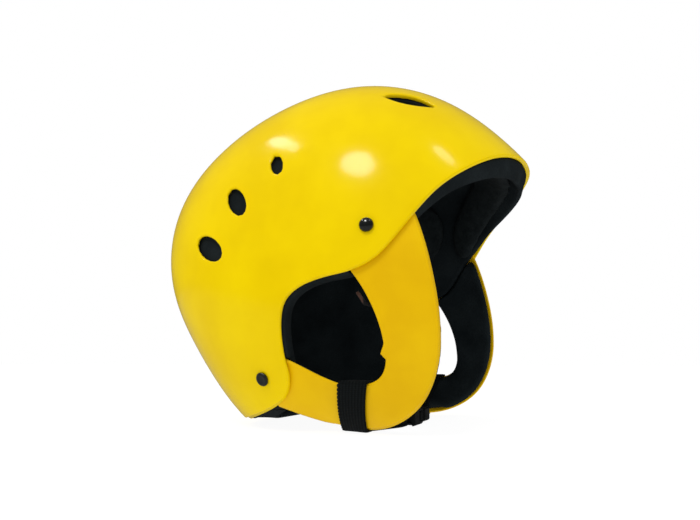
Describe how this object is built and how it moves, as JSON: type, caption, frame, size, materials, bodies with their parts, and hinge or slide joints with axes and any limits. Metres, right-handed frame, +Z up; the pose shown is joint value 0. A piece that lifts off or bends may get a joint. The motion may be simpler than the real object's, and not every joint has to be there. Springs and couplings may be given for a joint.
{
  "type": "water helmet",
  "caption": "Full-cut paddling helmet: moulded dome with oval vents, foam liner and pads, open ear guards on screws, webbing chin strap with a side-release buckle.",
  "frame": {"origin": "middle of the helmet's width and length, on the surface it rests on", "axes": "+Z up, -Y the way the wearer faces, +X the wearer's left, +Y along the helmet's length"},
  "size_m": [0.211, 0.253, 0.2314],
  "materials": {
    "shell_yellow": "glossy moulded plastic",
    "guard_yellow": "satin moulded plastic",
    "foam_black": "matte closed-cell foam",
    "pad_fabric": "brushed fabric over foam",
    "webbing_black": "woven webbing",
    "buckle_black": "satin moulded plastic",
    "screw_black": "glossy black",
    "washer_rubber": "matte",
    "label_brown": "woven label, blank"
  },
  "bodies": {
    "helmet": {"outer_shell": "shell_yellow", "foam_liner": "foam_black", "brow_pad": "pad_fabric", "crown_pad": "pad_fabric", "nape_pad": "pad_fabric", "side_pad_right": "pad_fabric", "side_pad_left": "pad_fabric", "ear_guard_right": "guard_yellow", "ear_guard_left": "guard_yellow", "ear_guard_foam_right": "foam_black", "ear_guard_foam_left": "foam_black", "front_screw_right": "screw_black", "front_screw_left": "screw_black", "front_washer_right": "washer_rubber", "front_washer_left": "washer_rubber", "front_post_nut_right": "screw_black", "front_post_nut_left": "screw_black", "rear_screw_right": "screw_black", "rear_screw_left": "screw_black", "rear_washer_right": "washer_rubber", "rear_washer_left": "washer_rubber", "rear_post_nut_right": "screw_black", "rear_post_nut_left": "screw_black", "strap_loop_right": "webbing_black", "strap_loop_left": "webbing_black", "strap_run_right": "webbing_black", "strap_run_left": "webbing_black", "strap_tail": "webbing_black", "buckle_plug": "buckle_black", "size_label": "label_brown"},
    "buckle_socket": {"buckle_socket": "buckle_black"},
    "buckle_arm_rear": {"buckle_arm_rear": "buckle_black"},
    "buckle_arm_front": {"buckle_arm_front": "buckle_black"},
    "strap_keeper": {"strap_keeper": "buckle_black"}
  },
  "joints": [
    {"name": "buckle_release", "type": "slide", "parent": "helmet", "child": "buckle_socket", "axis": [-1, 0, 0], "range_m": [0, 0.022], "deforming": ["strap_run_right", "buckle_arm_rear", "buckle_arm_front"]},
    {"name": "rear_arm_squeeze", "type": "hinge", "parent": "helmet", "child": "buckle_arm_rear", "pos_m": [-0.0011, -0.0331, 0.0055], "axis": [0, 0, 1], "range_deg": [0, 12], "stiffness_Nm_per_rad": 0.5},
    {"name": "front_arm_squeeze", "type": "hinge", "parent": "helmet", "child": "buckle_arm_front", "pos_m": [-0.0011, -0.0487, 0.0055], "axis": [0, 0, 1], "range_deg": [-12, 0], "stiffness_Nm_per_rad": 0.5},
    {"name": "keeper_slide", "type": "slide", "parent": "helmet", "child": "strap_keeper", "axis": [0.9696, 0.2446, 0], "range_m": [-0.004, 0.004]}
  ]
}
